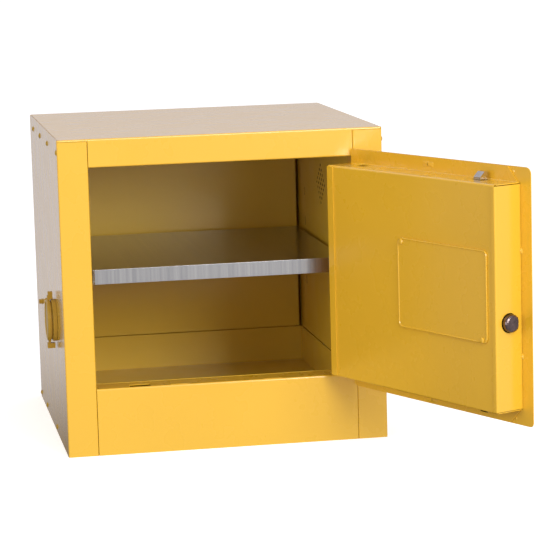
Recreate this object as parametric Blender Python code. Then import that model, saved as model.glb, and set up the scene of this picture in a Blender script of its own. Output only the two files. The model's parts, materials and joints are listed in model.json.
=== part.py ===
"""Bench-top flammable storage cabinet: double-walled steel box, sump, shelf, vents and a latching door.

Metres, +Z up. The origin is the centre of the footprint on the base plane, and -Y is the front.
The door hangs open. Its pieces are drawn in the closed place and turned by one empty on the hinge pin.
"""

import math

import bmesh
import bpy
from mathutils import Matrix, Vector

# Cabinet body
WIDTH = 0.4445
DEPTH = 0.4430
HEIGHT = 0.4330
SHEET = 0.0012
BEND = 0.0021
GAP = 0.0003
LEFT, RIGHT = -WIDTH / 2, WIDTH / 2
FRONT, BACK = -DEPTH / 2, DEPTH / 2

# Door frame, sill and double wall
POST = 0.0413
SILL_TOP = 0.0923
SILL_DEPTH = 0.0380
RETURN_DEPTH = 0.0360
OPENING_TOP = 0.3944
TOP_LIP = 0.0030
LINER_FRONT = FRONT + RETURN_DEPTH + 0.0004
LINER_BACK = FRONT + 0.4050
LINER_BOTTOM = 0.0932
LINER_TOP = OPENING_TOP - 0.0004
CORNER_GAP = 0.0045
SUMP_FLOOR = 0.0410
SUMP_INSET = 0.0010

# Shelf and its clips
SHELF_TOP = 0.2493
SHELF_LIP = 0.0205
SHELF_FRONT = FRONT + 0.0450
SHELF_DEPTH = 0.3510
SHELF_HALF_WIDTH = 0.1755
CLIP_ROWS = (FRONT + 0.0900, FRONT + 0.3560)
SLOT_LEVELS = (0.1720, 0.2170, 0.2620, 0.3070)
SLOT_HEIGHT, SLOT_WIDTH = 0.0129, 0.0026
CLIP_LEVEL = SLOT_LEVELS[1]
CLIP_WIDTH = 0.0180
LEDGE_LENGTH = 0.0110

# Vents: low on the left side, high on the right side
LEFT_VENT = (FRONT + 0.1230, 0.1708)
RIGHT_VENT = (FRONT + 0.2300, 0.3315)
VENT_BORE = 0.0235
VENT_TUBE = 0.0260
VENT_FLANGE = 0.0296
VENT_FLANGE_HEIGHT = 0.0058
VENT_PITCH = 0.00975
VENT_HOLE = 0.0024
VENT_ROWS = 5

# Ground screw and stud on the left side
GROUND = (FRONT + 0.3430, 0.1625)
STUD = (FRONT + 0.2300, 0.1835)

# Hinge: the door is drawn closed and then turned by DOOR_OPEN about the pin
DOOR_OPEN = math.radians(114.7)
PIN_X = LEFT + 0.4000
PIN_Y = FRONT - 0.0023
PIN_RADIUS = 0.00115
PIN_BORE = 0.0013
KNUCKLE = 0.0025
KNUCKLES = 11
HINGE_BOTTOM, HINGE_TOP = 0.1000, 0.3830
LEAF_REACH = FRONT + 0.0300
LEAF_START = FRONT + 0.0005
DOOR_LEAF = (LEFT + 0.3993, LEFT + 0.4005)
FRAME_LEAF = (LEFT + 0.4017, LEFT + 0.4029)

# Door, measured from its hinge edge (s), outwards from its flange plane (n) and up (z)
DOOR_EDGE_X = LEFT + 0.3985
DOOR_PLANE_Y = FRONT - 0.0008
SKIN_START, SKIN_END = 0.0018, 0.3710
SKIN_BOTTOM, SKIN_TOP = 0.0765, 0.4055
SKIN_BACK = 0.0015
PAN_START, PAN_END = 0.0015, 0.3500
PAN_BOTTOM, PAN_TOP = 0.0965, 0.3860
PAN_DEPTH = 0.0395
SEAM = 0.0008
FLANGE_TRIM = 0.0225
HINGE_LAP = 0.0135

# Access plate on the door's inner face, with one screw high on the left and one low on the right
PLATE_S, PLATE_Z = (0.1540, 0.3345), (0.1840, 0.3025)
PLATE_CORNER = 0.0070
PLATE_SCREWS = ((PLATE_S[0] + 0.0080, PLATE_Z[1] - 0.0050), (PLATE_S[1] - 0.0100, PLATE_Z[0] + 0.0040))
SCREW_HOLE, SCREW_SHANK, SCREW_HEAD = 0.0018, 0.0014, 0.0038

# Latch: one spindle drives two rods and a side bolt
LATCH_S = 0.2900
LATCH_Z = 0.2105
ROD_N = (-0.0140, -0.0115)
TIP_N = (-0.0175, -0.0065)
TIP_HALF_WIDTH = 0.0065
TIP_REACH = 0.0103
TIP_LENGTH = 0.0400
SPARE_S = 0.0420
HOLE_LONG, HOLE_SHORT = 0.0230, 0.0140
STRIKE_SLOT = (-0.0210, 0.0075)
THROW_RADIUS = 0.0120
THROW_HALF_ANGLE = math.radians(30)
DRIVE_PIN = 0.00125
DRIVE_PLAY = 0.0004
SPINDLE = 0.0045
CAM_RADIUS = 0.0155
CAM_N = (-0.0190, -0.0160)
BOLT_RADIUS = 0.0115
BOLT_HOLE = 0.0127
BOLT_FLAT = 0.0080
BOLT_N = -0.0190
BOLT_REACH = 0.0095
BOLT_START = 0.3300
CASE_HALF_WIDTH = 0.0200
CASE_HALF_HEIGHT = 0.0330
CASE_DEPTH = 0.0312
GUIDE_DISTANCE = 0.0540
SPRING_RADIUS, SPRING_WIRE, SPRING_TURNS = 0.0055, 0.0006, 5
PLATE_HALF_WIDTH, PLATE_HALF_HEIGHT = 0.0170, 0.0300
HANDLE_HUB = 0.0150
HANDLE_BACK, HANDLE_FACE = 0.0078, 0.0330
HANDLE_LENGTH = 0.1050
CYLINDER = 0.0070


def clear_scene():
    for obj in list(bpy.data.objects):
        bpy.data.objects.remove(obj, do_unlink=True)


def material(name, color, roughness, metallic):
    made = bpy.data.materials.new(name)
    made.use_nodes = True
    shader = made.node_tree.nodes["Principled BSDF"]
    shader.inputs["Base Color"].default_value = (*color, 1)
    shader.inputs["Roughness"].default_value = roughness
    shader.inputs["Metallic"].default_value = metallic
    return made


# ---------------------------------------------------------------- outlines

def arc(centre, radius, start, end, steps):
    """Points on an arc, both ends included."""
    turns = (start + (end - start) * i / steps for i in range(steps + 1))
    return [(centre[0] + radius * math.cos(t), centre[1] + radius * math.sin(t)) for t in turns]


def rounded_rectangle(low, high, radii, steps=5):
    """Anticlockwise outline. radii go to the corners from low, anticlockwise."""
    corners = ((low[0], low[1]), (high[0], low[1]), (high[0], high[1]), (low[0], high[1]))
    inward = ((1, 1), (-1, 1), (-1, -1), (1, -1))
    points = []
    for i, (corner, to, radius) in enumerate(zip(corners, inward, radii)):
        centre = (corner[0] + to[0] * radius, corner[1] + to[1] * radius)
        start = math.pi + i * math.pi / 2
        points += arc(centre, radius, start, start + math.pi / 2, steps)
    return points


def bent_sheet_outline(path, side, thickness=SHEET, steps=3):
    """Closed outline of a folded sheet: its path is one face, and the sheet lies on that side of it."""
    line = [Vector(p) for p in path]
    face, other = [], []

    def left_of(direction):
        return Vector((-direction.y, direction.x)) * side

    first = (line[1] - line[0]).normalized()
    face.append(line[0])
    other.append(line[0] + left_of(first) * thickness)
    for before, corner, after in zip(line, line[1:], line[2:]):
        into, out = (corner - before).normalized(), (after - corner).normalized()
        turn = math.atan2(into.x * out.y - into.y * out.x, into.dot(out))
        inside = turn * side > 0
        radius = BEND if inside else BEND - thickness
        back_off = radius * math.tan(abs(turn) / 2)
        hand = 1 if turn > 0 else -1
        centre = corner - into * back_off + Vector((-into.y, into.x)) * hand * radius
        start = corner - into * back_off - centre
        for i in range(steps + 1):
            spoke = Matrix.Rotation(turn * i / steps, 2) @ start
            face.append(centre + spoke)
            change = -thickness if inside else thickness
            other.append(centre + spoke * (radius + change) / radius)
    last = (line[-1] - line[-2]).normalized()
    face.append(line[-1])
    other.append(line[-1] + left_of(last) * thickness)
    return [tuple(p) for p in face + other[::-1]]


# ---------------------------------------------------------------- meshes

def placed(axis, along, a, b):
    """The point whose outline coordinates are a and b in the plane across the axis."""
    return {"x": (along, a, b), "y": (a, along, b), "z": (a, b, along)}[axis]


def finish(bm):
    bmesh.ops.recalc_face_normals(bm, faces=bm.faces[:])
    return bm


def prism(outline, axis, low, high):
    """A straight solid with this outline between two places on the axis."""
    bm = bmesh.new()
    ends = [[bm.verts.new(placed(axis, along, *p)) for p in outline] for along in (low, high)]
    bm.faces.new(ends[0])
    bm.faces.new(ends[1])
    count = len(outline)
    for i in range(count):
        j = (i + 1) % count
        bm.faces.new((ends[0][i], ends[0][j], ends[1][j], ends[1][i]))
    return finish(bm)


def box(low, high):
    outline = ((low[0], low[1]), (high[0], low[1]), (high[0], high[1]), (low[0], high[1]))
    return prism(outline, "z", low[2], high[2])


def lathe(profile, axis, centre, segments=24, ring=False):
    """A turned solid. The profile holds (radius, place on the axis) and a ring's profile is closed."""
    bm = bmesh.new()
    rows = []
    for radius, along in profile:
        if radius == 0:
            rows.append([bm.verts.new(placed(axis, along, *centre))])
            continue
        circle = arc(centre, radius, 0, 2 * math.pi, segments)[:-1]
        rows.append([bm.verts.new(placed(axis, along, *p)) for p in circle])
    pairs = list(zip(rows, rows[1:]))
    if ring:
        pairs.append((rows[-1], rows[0]))
    for one, two in pairs:
        for i in range(segments):
            j = (i + 1) % segments
            corners = [one[i % len(one)], one[j % len(one)], two[j % len(two)], two[i % len(two)]]
            bm.faces.new(list(dict.fromkeys(corners)))
    return finish(bm)


def rod(axis, centre, radius, low, high, segments=16):
    return lathe([(0, low), (radius, low), (radius, high), (0, high)], axis, centre, segments)


def merged(meshes):
    """Several separate closed meshes as one, for a cutter with many places."""
    bm = bmesh.new()
    for part in meshes:
        holder = bpy.data.meshes.new("holder")
        part.to_mesh(holder)
        bm.from_mesh(holder)
        bpy.data.meshes.remove(holder)
    return bm


def mirrored(bm):
    """The same shape on the other side of the cabinet."""
    bmesh.ops.transform(bm, matrix=Matrix.Diagonal((-1, 1, 1, 1)), verts=bm.verts[:])
    return finish(bm)


# ---------------------------------------------------------------- objects

class Pivot:
    """An empty on a joint's axis. Pieces are drawn in the closed place and hang from it."""

    def __init__(self, name, place, under=None, turn=0.0):
        self.place = Vector(place)
        self.empty = bpy.data.objects.new(name, None)
        bpy.context.scene.collection.objects.link(self.empty)
        self.empty.rotation_euler.z = turn
        self.empty.location = self.place
        if under:
            self.empty.parent = under.empty
            self.empty.location = self.place - under.place


def new_object(name, bm, paint, pivot):
    mesh = bpy.data.meshes.new(name)
    bm.to_mesh(mesh)
    bm.free()
    obj = bpy.data.objects.new(name, mesh)
    bpy.context.scene.collection.objects.link(obj)
    if paint:
        mesh.materials.append(paint)
    if pivot:
        obj.parent = pivot.empty
        obj.location = -pivot.place
    return obj


def combine(target, operation, bm, pivot):
    """A Boolean on the target with a hidden helper."""
    helper = new_object(f"{target.name}_{operation.lower()}_{len(target.modifiers)}", bm, None, pivot)
    helper.hide_render = True
    helper.display_type = "WIRE"
    modifier = target.modifiers.new(operation.title(), "BOOLEAN")
    modifier.object = helper
    modifier.operation = operation
    modifier.solver = "EXACT"


def piece(name, paint, bm, joins=(), cuts=(), pivot=None, smooth=False):
    """One named sub-part: a mesh, what is joined to it and what is cut from it."""
    obj = new_object(name, bm, paint, pivot)
    for extra in joins:
        combine(obj, "UNION", extra, pivot)
    for cut in cuts:
        combine(obj, "DIFFERENCE", cut, pivot)
    if smooth:
        obj.data.shade_smooth()
        obj.data.set_sharp_from_angle(angle=math.radians(35))
    return obj


# ---------------------------------------------------------------- cabinet body

def side_panel(name, paint, mirror, holes):
    """Side sheet, folded round the front post and back into the opening."""
    edge = LEFT + POST
    path = [(LEFT, BACK), (LEFT, FRONT), (edge, FRONT), (edge, FRONT + RETURN_DEPTH)]
    shell = prism(bent_sheet_outline(path, 1), "z", 0, HEIGHT - 0.0004)
    inner = edge - BEND - 0.0005
    behind = FRONT + SHEET + 0.0002
    deep = FRONT + RETURN_DEPTH + 0.001
    cuts = [
        box((inner, behind, -0.001), (edge + 0.001, deep, SILL_TOP + GAP)),
        box((inner, behind, OPENING_TOP - GAP), (edge + 0.001, deep, HEIGHT)),
        box(
            (LEFT + SHEET + 0.0001, FRONT - 0.001, HEIGHT - TOP_LIP - GAP),
            (edge + 0.001, behind + 0.002, HEIGHT),
        ),
        *holes,
    ]
    if mirror:
        shell = mirrored(shell)
        cuts = [mirrored(cut) for cut in cuts]
    return piece(name, paint, shell, cuts=cuts)


def left_side_panel(paint):
    strike = (door_y(BOLT_N), LATCH_Z)
    holes = [
        rod("x", LEFT_VENT, VENT_TUBE + 0.0004, LEFT - 0.002, LEFT + 0.004, 24),
        rod("x", GROUND, 0.0029, LEFT - 0.002, LEFT + 0.004, 10),
        rod("x", strike, BOLT_RADIUS + 0.0010, LEFT + POST - 0.004, LEFT + POST + 0.004, 20),
    ]
    return side_panel("left_side_panel", paint, False, holes)


def right_side_panel(paint):
    holes = [rod("x", RIGHT_VENT, VENT_TUBE + 0.0004, LEFT - 0.002, LEFT + 0.004, 24)]
    return side_panel("right_side_panel", paint, True, holes)


def top_panel(paint):
    """Top sheet, folded down as the front rail and back as the opening's head."""
    path = [(BACK, HEIGHT), (FRONT, HEIGHT), (FRONT, OPENING_TOP), (FRONT + RETURN_DEPTH, OPENING_TOP)]
    inset = SHEET + 0.0004
    shell = prism(bent_sheet_outline(path, 1), "x", LEFT + inset, RIGHT - inset)
    reach = FRONT + RETURN_DEPTH + 0.001
    cuts = []
    for sign in (-1, 1):
        near, far = sorted((sign * (RIGHT - POST - GAP), sign * (RIGHT + 0.001)))
        cuts.append(box((near, FRONT - 0.001, OPENING_TOP - 0.001), (far, reach, HEIGHT - TOP_LIP)))
    cuts.append(strike_hole(OPENING_TOP - 0.002, OPENING_TOP + 0.003))
    return piece("top_panel", paint, shell, cuts=cuts)


def strike_hole(low, high):
    """Slot that a latch tip enters when the door is shut."""
    near, far = (door_x(LATCH_S) + edge for edge in STRIKE_SLOT)
    return box((near, door_y(TIP_N[1]) - 0.0022, low), (far, door_y(TIP_N[0]) + 0.0020, high))


def back_panel(paint):
    inset = SHEET + 0.0004
    high = HEIGHT - SHEET - 0.0004
    return piece("back_panel", paint, box((LEFT + inset, BACK - SHEET, 0), (RIGHT - inset, BACK, high)))


def bottom_panel(paint):
    inset = SHEET + 0.0004
    sheet = box((LEFT + inset, FRONT + inset, 0), (RIGHT - inset, BACK - inset, SHEET))
    return piece("bottom_panel", paint, sheet)


def kick_panel(paint):
    """Toe panel, folded back as the sill and down in front of the sump."""
    back = FRONT + SILL_DEPTH
    path = [(FRONT, 0), (FRONT, SILL_TOP), (back, SILL_TOP), (back, SILL_TOP - 0.012)]
    half = RIGHT - POST - GAP
    shell = prism(bent_sheet_outline(path, -1), "x", -half, half)
    return piece("kick_panel", paint, shell, cuts=[strike_hole(SILL_TOP - 0.004, SILL_TOP + 0.002)])


def sump_tray(paint):
    """Open liquid-tight tray below the sill."""
    half = RIGHT - POST - SUMP_INSET
    low = (-half - SHEET, FRONT + SILL_DEPTH + GAP, SUMP_FLOOR - SHEET)
    high = (half + SHEET, LINER_BACK - SUMP_INSET + SHEET, SILL_TOP)
    hollow_low = (-half, low[1] + SHEET, SUMP_FLOOR)
    hollow_high = (half, high[1] - SHEET, SILL_TOP + 0.01)
    return piece("sump_tray", paint, box(low, high), cuts=[box(hollow_low, hollow_high)])


def vent_perforations(centre):
    """Square grid of small holes, turned to stand on its corner."""
    y, z = centre
    step = VENT_PITCH / math.sqrt(2)
    middle = (VENT_ROWS - 1) / 2
    near, far = LEFT + POST - 0.003, LEFT + POST + 0.002
    spots = []
    for i in range(VENT_ROWS):
        for j in range(VENT_ROWS):
            across, up = (i - j) * step, (i + j - 2 * middle) * step
            spots.append(rod("x", (y + across, z + up), VENT_HOLE, near, far, 8))
    return merged(spots)


def side_liner(name, paint, mirror, vent):
    """Inner side wall with the vent's holes and the slots for the shelf clips."""
    edge = LEFT + POST
    sheet = box((edge - SHEET, LINER_FRONT, LINER_BOTTOM), (edge, LINER_BACK + 0.007, LINER_TOP))
    slots = []
    for y in CLIP_ROWS:
        for z in SLOT_LEVELS:
            half = (0.0015, SLOT_WIDTH / 2, SLOT_HEIGHT / 2)
            middle = (edge - SHEET / 2, y, z)
            slots.append(box([m - h for m, h in zip(middle, half)], [m + h for m, h in zip(middle, half)]))
    cuts = [merged(slots), vent_perforations(vent)]
    if mirror:
        sheet = mirrored(sheet)
        cuts = [mirrored(cut) for cut in cuts]
    return piece(name, paint, sheet, cuts=cuts)


def back_liner(paint):
    half = RIGHT - POST - CORNER_GAP
    sheet = box((-half, LINER_BACK, LINER_BOTTOM), (half, LINER_BACK + SHEET, LINER_TOP))
    return piece("inner_back_panel", paint, sheet)


def top_liner(paint):
    half = RIGHT - POST + SHEET
    high = (half, LINER_BACK + 0.007, OPENING_TOP + SHEET)
    return piece("inner_top_panel", paint, box((-half, LINER_FRONT, OPENING_TOP), high))


# ---------------------------------------------------------------- shelf

def shelf(paint, pivot):
    """Flat shelf with four lips turned down and open corners."""
    low_z, high_z = SHELF_TOP - SHELF_LIP, SHELF_TOP
    back = SHELF_FRONT + SHELF_DEPTH
    half = SHELF_HALF_WIDTH
    corner = 0.0018
    tray = box((-half, SHELF_FRONT, low_z), (half, back, high_z))
    hollow = box(
        (-half + SHEET, SHELF_FRONT + SHEET, low_z - 0.001), (half - SHEET, back - SHEET, high_z - SHEET)
    )
    notches = [
        box((x - corner, y - corner, low_z - 0.001), (x + corner, y + corner, high_z - SHEET))
        for x in (-half, half)
        for y in (SHELF_FRONT, back)
    ]
    return piece("shelf", paint, tray, cuts=[hollow, merged(notches)], pivot=pivot)


def clip_mesh():
    """Clip at the left wall, drawn around y = 0: hook, plate and ledge."""
    wall = LEFT + POST
    plate_face = wall + GAP
    thick = 0.0015
    top = SHELF_TOP - SHELF_LIP - GAP
    bottom = CLIP_LEVEL - 0.0075
    half = CLIP_WIDTH / 2
    outline = [
        (plate_face, bottom),
        (plate_face + thick, bottom),
        (plate_face + thick, top - thick),
        (plate_face + LEDGE_LENGTH, top - thick),
        (plate_face + LEDGE_LENGTH, top),
        (plate_face, top),
    ]
    body = prism(outline, "y", -half, half)
    hook_half = SLOT_WIDTH / 2 - 0.0004
    hook_top = CLIP_LEVEL + SLOT_HEIGHT / 2 - 0.0005
    hook_bottom = CLIP_LEVEL - SLOT_HEIGHT / 2 + 0.0005
    behind = wall - SHEET - GAP
    hook = [
        (plate_face + 0.0005, hook_bottom + 0.003),
        (plate_face + 0.0005, hook_top),
        (behind - 0.0022, hook_top),
        (behind - 0.0022, hook_bottom - 0.003),
        (behind, hook_bottom - 0.003),
        (behind, hook_bottom + 0.003),
    ]
    return body, prism(hook, "y", -hook_half, hook_half)


def shelf_clips(paint):
    for side, turn in (("left", 0), ("right", math.pi)):
        for row, y in zip(("front", "rear"), CLIP_ROWS):
            anchor = Pivot(f"{side}_{row}_clip_place", (0, 0, 0), turn=turn)
            anchor.empty.location.y = y
            body, hook = clip_mesh()
            piece(f"shelf_clip_{side}_{row}", paint, body, joins=[hook], pivot=anchor)


# ---------------------------------------------------------------- vents and small hardware

def outward(sign, profile):
    """Profile heights counted outwards from the side sheet's outer face."""
    return [(radius, sign * (RIGHT + height)) for radius, height in profile]


def vent(name, sign, centre, brass, paint):
    """Tube through the double wall with its flange, flame screen and threaded cap."""
    depth = POST - SHEET - 0.0005
    tube = [
        (VENT_BORE, VENT_FLANGE_HEIGHT),
        (VENT_FLANGE - 0.0008, VENT_FLANGE_HEIGHT),
        (VENT_FLANGE, VENT_FLANGE_HEIGHT - 0.0008),
        (VENT_FLANGE, GAP),
        (VENT_TUBE, GAP),
        (VENT_TUBE, -depth),
        (VENT_BORE, -depth),
    ]
    piece(f"{name}_vent_tube", paint, lathe(outward(sign, tube), "x", centre, 24, ring=True), smooth=True)
    screen = [(0, -0.0345), (VENT_BORE - GAP, -0.0345), (VENT_BORE - GAP, -0.0360), (0, -0.0360)]
    piece(f"{name}_vent_screen", brass, lathe(outward(sign, screen), "x", centre, 24), smooth=True)
    vent_cap(name, sign, centre, paint)


def vent_cap(name, sign, centre, paint):
    """Stepped cap that screws out by the lug below it and the tab above it."""
    pivot = Pivot(f"{name}_vent_axis", (sign * RIGHT, *centre))
    profile = [
        (0, -0.0060),
        (VENT_BORE - 0.0005, -0.0060),
        (VENT_BORE - 0.0005, VENT_FLANGE_HEIGHT + GAP),
        (0.0268, VENT_FLANGE_HEIGHT + GAP),
        (0.0268, 0.0074),
        (0.0292, 0.0080),
        (0.0292, 0.0112),
        (0.0280, 0.0126),
        (0.0262, 0.0132),
        (0.0245, 0.0120),
        (0, 0.0120),
    ]
    y, z = centre

    def lug(half_width, low, high, near, far):
        ends = sorted((sign * (RIGHT + near), sign * (RIGHT + far)))
        return box((ends[0], y - half_width, z + low), (ends[1], y + half_width, z + high))

    stem = lug(0.0038, 0.0260, 0.0345, 0.0082, 0.0110)
    tab = lug(0.0044, 0.0302, 0.0400, 0.0036, 0.0098)
    neck = lug(0.0040, -0.0345, -0.0250, 0.0082, 0.0112)
    foot = lug(0.0052, -0.0392, -0.0322, 0.0022, 0.0128)
    body = lathe(outward(sign, profile), "x", centre, 24)
    piece(f"{name}_vent_cap", paint, body, joins=[stem, tab, neck, foot], pivot=pivot, smooth=True)


def ground_screw(paint):
    """Hexagon screw through the side sheet, with a loose nut behind it."""
    shank = rod("x", GROUND, 0.0025, LEFT - 0.002, LEFT + 0.012, 12)
    head = rod("x", GROUND, 0.0036, LEFT - 0.0054, LEFT - 0.0014, 6)
    washer = rod("x", GROUND, 0.0042, LEFT - 0.0016, LEFT - GAP, 16)
    piece("ground_screw", paint, head, joins=[washer, shank])


def ground_nut(paint):
    bore, outer, near, far = 0.0028, 0.0050, LEFT + 0.0015, LEFT + 0.0055
    ring = [(bore, far), (outer, far), (outer, near), (bore, near)]
    piece("ground_nut", paint, lathe(ring, "x", GROUND, 12, ring=True))


def side_stud(paint):
    stud = [
        (0, LEFT - 0.0056),
        (0.0010, LEFT - 0.0056),
        (0.0016, LEFT - 0.0050),
        (0.0016, LEFT - 0.0012),
        (0.0030, LEFT - 0.0010),
        (0.0030, LEFT - GAP),
        (0, LEFT - GAP),
    ]
    piece("side_stud", paint, lathe(stud, "x", STUD, 12), smooth=True)


# ---------------------------------------------------------------- hinge

def knuckle_spans(own):
    """Heights of every second knuckle."""
    pitch = (HINGE_TOP - HINGE_BOTTOM) / KNUCKLES
    return [
        (HINGE_BOTTOM + pitch * i + GAP / 2, HINGE_BOTTOM + pitch * (i + 1) - GAP / 2)
        for i in range(own, KNUCKLES, 2)
    ]


def knuckle_outline(leaf, start, steps):
    """Round knuckle with a tab that runs back into the leaf between two x places."""
    near, far = leaf[0] - PIN_X, leaf[1] - PIN_X
    rise = LEAF_START + 0.0006 - PIN_Y
    left_turn = math.acos(max(near, -KNUCKLE) / KNUCKLE)
    right_turn = math.acos(min(far, KNUCKLE * 0.98) / KNUCKLE)
    round_part = arc((0, 0), KNUCKLE, left_turn, 2 * math.pi + right_turn, steps)
    points = round_part + [(far, rise), (near, rise)]
    if far > KNUCKLE:
        points = round_part + [(far, start), (far, rise), (near, rise)]
    return [(PIN_X + x, PIN_Y + y) for x, y in points]


def hinge_leaf(name, paint, leaf, own, pivot=None):
    plate = box((leaf[0], LEAF_START, HINGE_BOTTOM), (leaf[1], LEAF_REACH, HINGE_TOP))
    outline = knuckle_outline(leaf, 0.0006, 14)
    knuckles = merged([prism(outline, "z", low, high) for low, high in knuckle_spans(own)])
    bore = rod("z", (PIN_X, PIN_Y), PIN_BORE, HINGE_BOTTOM - 0.002, HINGE_TOP + 0.002, 12)
    return piece(name, paint, plate, joins=[knuckles], cuts=[bore], pivot=pivot)


def hinge_pin(paint):
    pin = rod("z", (PIN_X, PIN_Y), PIN_RADIUS, HINGE_BOTTOM - 0.0008, HINGE_TOP + 0.0008, 12)
    piece("hinge_pin", paint, pin, smooth=True)


# ---------------------------------------------------------------- door shell

def door_x(s):
    """Closed-door x of a distance from the hinge edge."""
    return DOOR_EDGE_X - s


def door_y(n):
    """Closed-door y of a height outwards from the flange plane."""
    return DOOR_PLANE_Y - n


def door_prism(outline, n_low, n_high):
    """A solid across the door's thickness from an outline in (s, z)."""
    return prism([(door_x(s), z) for s, z in outline], "y", door_y(n_high), door_y(n_low))


def door_box(s, n, z):
    return box((door_x(s[1]), door_y(n[1]), z[0]), (door_x(s[0]), door_y(n[0]), z[1]))


def door_lathe(profile, s, z, segments=24, ring=False):
    """A turned solid about the door's normal. The profile holds (radius, n)."""
    turned = [(radius, door_y(n)) for radius, n in profile]
    return lathe(turned, "y", (door_x(s), z), segments, ring)


def door_rod(s, z, radius, n_low, n_high, segments=16):
    return rod("y", (door_x(s), z), radius, door_y(n_high), door_y(n_low), segments)


def door_skin(paint, pivot):
    radii = (0.0065, 0.0030, 0.0030, 0.0088)
    outline = rounded_rectangle(
        (door_x(SKIN_END), SKIN_BOTTOM), (door_x(SKIN_START), SKIN_TOP), radii
    )
    skin = prism(outline, "y", door_y(SKIN_BACK + SHEET), door_y(SKIN_BACK))
    piece("door_skin", paint, skin, cuts=[door_rod(LATCH_S, LATCH_Z, 0.0080, 0, 0.005)], pivot=pivot)


def oval_hole(s, low, high):
    """Oval opening for a latch tip in the pan's top or bottom wall."""
    middle_n = (TIP_N[0] + TIP_N[1]) / 2
    x, y = door_x(s), door_y(middle_n)
    outline = rounded_rectangle(
        (x - HOLE_LONG / 2, y - HOLE_SHORT / 2), (x + HOLE_LONG / 2, y + HOLE_SHORT / 2), (0.0042,) * 4, 4
    )
    return prism(outline, "z", low, high)


def free_side_wall(face):
    """Flap folded from the pan's face, with open seams above and below it."""
    path = [(PAN_END - 0.0060, face), (PAN_END, face), (PAN_END, SKIN_BACK - GAP)]
    outline = bent_sheet_outline([(door_x(s), door_y(n)) for s, n in path], -1)
    return prism(outline, "z", PAN_BOTTOM + SHEET + SEAM, PAN_TOP - SHEET - SEAM)


def door_pan(paint, pivot):
    """Inner door sheet: hat section with two flanges, closed at the free side."""
    face = -PAN_DEPTH
    section = [
        (0, SKIN_TOP - 0.0005),
        (0, PAN_TOP),
        (face, PAN_TOP),
        (face, PAN_BOTTOM),
        (0, PAN_BOTTOM),
        (0, SKIN_BOTTOM + 0.0005),
    ]
    path = [(door_y(n), z) for n, z in section]
    shell = prism(bent_sheet_outline(path, -1), "x", door_x(PAN_END), door_x(PAN_START))
    wall = free_side_wall(face)
    relief = door_box(
        (PAN_END - BEND - 0.0004, PAN_END + 0.001), (face - 0.001, face + BEND + 0.0004), (0, HEIGHT)
    )
    trims = []
    for edge, tip in ((PAN_TOP + 0.0004, SKIN_TOP + 0.001), (PAN_BOTTOM - 0.0004, SKIN_BOTTOM - 0.001)):
        outer = PAN_END + 0.001
        slant = [(PAN_END - 0.0025, edge), (outer, edge), (outer, tip), (PAN_END - FLANGE_TRIM, tip)]
        trims.append(door_prism(slant, -0.001, 0.002))
    holes = [oval_hole(s, z - 0.004, z + 0.004) for s in (SPARE_S, LATCH_S) for z in (PAN_TOP, PAN_BOTTOM)]
    bolt_hole = rod(
        "x", (door_y(BOLT_N), LATCH_Z), BOLT_HOLE, door_x(PAN_END + 0.003), door_x(PAN_END - 0.004), 24
    )
    screws = merged([door_rod(s, z, SCREW_HOLE, face - 0.002, face + 0.003, 8) for s, z in PLATE_SCREWS])
    pan = piece("door_pan", paint, shell, cuts=[relief, merged(trims), merged(holes), screws], pivot=pivot)
    combine(pan, "UNION", wall, pivot)
    combine(pan, "DIFFERENCE", bolt_hole, pivot)


def door_hinge_channel(paint, pivot):
    """Angle that closes the hinge side and laps over the pan's face."""
    lap = -PAN_DEPTH - GAP - SHEET
    path = [(HINGE_LAP, lap), (-0.0005, lap), (-0.0005, -0.0025)]
    outline = bent_sheet_outline([(door_x(s), door_y(n)) for s, n in path], -1)
    channel = prism(outline, "z", PAN_BOTTOM + 0.0015, PAN_TOP - 0.0015)
    piece("door_hinge_channel", paint, channel, pivot=pivot)


def access_plate(paint, pivot):
    """Cover over the latch works on the door's inner face."""
    back = -PAN_DEPTH - GAP
    outline = rounded_rectangle(
        (door_x(PLATE_S[1]), PLATE_Z[0]), (door_x(PLATE_S[0]), PLATE_Z[1]), (PLATE_CORNER,) * 4
    )
    plate = prism(outline, "y", door_y(back), door_y(back - SHEET))
    holes = merged([door_rod(s, z, SCREW_HOLE, back - 0.003, back + 0.001, 8) for s, z in PLATE_SCREWS])
    piece("access_plate", paint, plate, cuts=[holes], pivot=pivot)


def plate_screws(steel, pivot):
    under = -PAN_DEPTH - GAP - SHEET - GAP
    profile = [
        (0, under - 0.0020),
        (0.0024, under - 0.0019),
        (SCREW_HEAD - 0.0002, under - 0.0010),
        (SCREW_HEAD, under),
        (SCREW_SHANK, under),
        (SCREW_SHANK, under + 0.0080),
        (0, under + 0.0080),
    ]
    for place, (s, z) in zip(("upper", "lower"), PLATE_SCREWS):
        screw = door_lathe(profile, s, z, 12)
        piece(f"plate_screw_{place}", steel, screw, pivot=pivot, smooth=True)


# ---------------------------------------------------------------- latch

def lock_case(steel, pivot):
    """Channel behind the skin that carries the spindle's inner end."""
    near, far = LATCH_S - CASE_HALF_WIDTH, LATCH_S + CASE_HALF_WIDTH
    lip = 0.0120
    path = [
        (near - lip, SHEET),
        (near, SHEET),
        (near, -CASE_DEPTH),
        (far, -CASE_DEPTH),
        (far, SHEET),
        (far + lip, SHEET),
    ]
    outline = bent_sheet_outline([(door_x(s), door_y(n)) for s, n in path], -1)
    shell = prism(outline, "z", LATCH_Z - CASE_HALF_HEIGHT, LATCH_Z + CASE_HALF_HEIGHT)
    bearing = door_rod(LATCH_S, LATCH_Z, SPINDLE + 0.0004, -CASE_DEPTH - 0.002, -CASE_DEPTH + 0.004)
    slot = door_box((far - 0.004, far + 0.003), (-0.0258, -0.0202), (LATCH_Z - 0.0174, LATCH_Z - 0.0056))
    piece("lock_case", steel, shell, cuts=[bearing, slot], pivot=pivot)


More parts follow.
